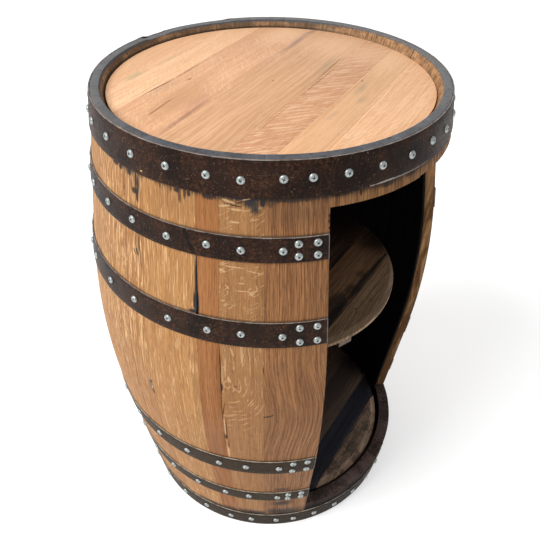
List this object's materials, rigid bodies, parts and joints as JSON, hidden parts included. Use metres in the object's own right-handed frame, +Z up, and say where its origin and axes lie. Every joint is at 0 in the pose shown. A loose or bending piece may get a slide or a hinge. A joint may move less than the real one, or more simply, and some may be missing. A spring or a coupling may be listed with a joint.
{
  "type": "barrel bar cabinet",
  "caption": "Oak cask cabinet with steel hoops, an open front, a recessed board top and two revolving shelves on a central post.",
  "frame": {"origin": "on the floor, on the cask's axis", "axes": "+Z up along the cask's axis, -Y out of the opening, +X to the right of someone who looks into it"},
  "size_m": [0.6639, 0.6232, 0.889],
  "materials": {
    "cask_oak": "planed oak staves with a thin oil finish",
    "hoop_steel": "dark rusted strap steel",
    "zinc_screw": "zinc plated",
    "new_oak": "sanded new oak",
    "old_head_oak": "stained old oak",
    "bearing_steel": "bright steel",
    "black_iron": "black iron pipe"
  },
  "bodies": {
    "cask": {"stave_01": "cask_oak", "stave_02": "cask_oak", "stave_03": "cask_oak", "stave_04": "cask_oak", "stave_05": "cask_oak", "stave_06": "cask_oak", "stave_07": "cask_oak", "stave_08": "cask_oak", "stave_09": "cask_oak", "stave_10": "cask_oak", "stave_11": "cask_oak", "stave_12": "cask_oak", "stave_13": "cask_oak", "stave_14": "cask_oak", "stave_15": "cask_oak", "stave_16": "cask_oak", "stave_17": "cask_oak", "stave_18": "cask_oak", "stave_19": "cask_oak", "stave_20": "cask_oak", "stave_21": "cask_oak", "stave_22": "cask_oak", "stave_23": "cask_oak", "stave_24": "cask_oak", "stave_25": "cask_oak", "stave_26": "cask_oak", "stave_27": "cask_oak", "stave_28": "cask_oak", "stave_29": "cask_oak", "stave_30": "cask_oak", "top_chime_hoop": "hoop_steel", "upper_quarter_hoop": "hoop_steel", "upper_bilge_hoop": "hoop_steel", "lower_bilge_hoop": "hoop_steel", "lower_quarter_hoop": "hoop_steel", "bottom_chime_hoop": "hoop_steel", "hoop_screws": "zinc_screw", "hoop_rivets": "hoop_steel", "top_board_1": "new_oak", "top_board_2": "new_oak", "top_board_3": "new_oak", "top_board_4": "new_oak", "top_board_5": "new_oak", "top_board_6": "new_oak", "top_board_7": "new_oak", "top_blocks": "new_oak", "top_block_screws": "zinc_screw", "bottom_head": "old_head_oak", "bearing_lower_race": "bearing_steel", "bearing_lower_screws": "zinc_screw", "bearing_balls": "bearing_steel"},
    "carousel": {"bearing_upper_race": "bearing_steel", "bearing_upper_screws": "zinc_screw", "lower_shelf": "old_head_oak", "upper_shelf": "old_head_oak", "shelf_battens": "old_head_oak", "batten_screws": "zinc_screw", "post": "black_iron", "post_flanges": "black_iron", "flange_screws": "zinc_screw"}
  },
  "joints": [
    {"name": "carousel_spin", "type": "hinge", "parent": "cask", "child": "carousel", "pos_m": [0, 0, 0.054], "axis": [0, 0, 1], "continuous": true}
  ]
}
